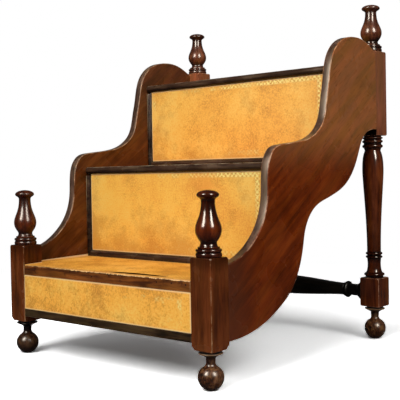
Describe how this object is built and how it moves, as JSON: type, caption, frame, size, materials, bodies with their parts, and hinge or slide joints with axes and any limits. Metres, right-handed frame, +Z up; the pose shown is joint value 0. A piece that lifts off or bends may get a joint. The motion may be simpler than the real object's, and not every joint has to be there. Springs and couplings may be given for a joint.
{
  "type": "library steps",
  "caption": "Mahogany library steps with leather-lined treads and risers, serpentine side panels, turned rear legs, vase finials and ball feet.",
  "frame": {"origin": "on the floor, in the middle of the footprint", "axes": "+Z up, +Y from the front of the steps to their back, +X to the right for someone who faces the front"},
  "size_m": [0.6, 0.655, 0.793],
  "materials": {
    "mahogany": "french polished, figured",
    "mahogany_dark": "dark stained and polished",
    "boards": "plain, unpolished secondary wood",
    "leather": "tan hide with a worn gilt tooled border"
  },
  "bodies": {
    "root": {"back_rail": "mahogany", "front_finial_left": "mahogany", "front_finial_right": "mahogany", "front_foot_left": "mahogany_dark", "front_foot_right": "mahogany_dark", "front_post_left": "mahogany", "front_post_right": "mahogany", "front_rail": "mahogany_dark", "glue_block_one_left": "boards", "glue_block_one_right": "boards", "glue_block_three_left": "boards", "glue_block_three_right": "boards", "glue_block_two_left": "boards", "glue_block_two_right": "boards", "rear_finial_left": "mahogany", "rear_finial_right": "mahogany", "rear_foot_left": "mahogany_dark", "rear_foot_right": "mahogany_dark", "rear_leg_left": "mahogany", "rear_leg_right": "mahogany", "rear_stretcher": "mahogany_dark", "riser_one_board": "boards", "riser_one_leather": "leather", "riser_three_bead_bottom": "mahogany_dark", "riser_three_bead_left": "mahogany_dark", "riser_three_bead_right": "mahogany_dark", "riser_three_board": "boards", "riser_three_leather": "leather", "riser_two_bead_bottom": "mahogany_dark", "riser_two_bead_left": "mahogany_dark", "riser_two_bead_right": "mahogany_dark", "riser_two_board": "boards", "riser_two_leather": "leather", "side_panel_left": "mahogany", "side_panel_right": "mahogany", "tread_one_board": "boards", "tread_one_leather": "leather", "tread_one_lipping": "mahogany", "tread_three_back_edge": "mahogany", "tread_three_board": "boards", "tread_three_leather": "leather", "tread_three_nosing": "mahogany_dark", "tread_two_board": "boards", "tread_two_leather": "leather", "tread_two_nosing": "mahogany_dark"}
  },
  "joints": []
}
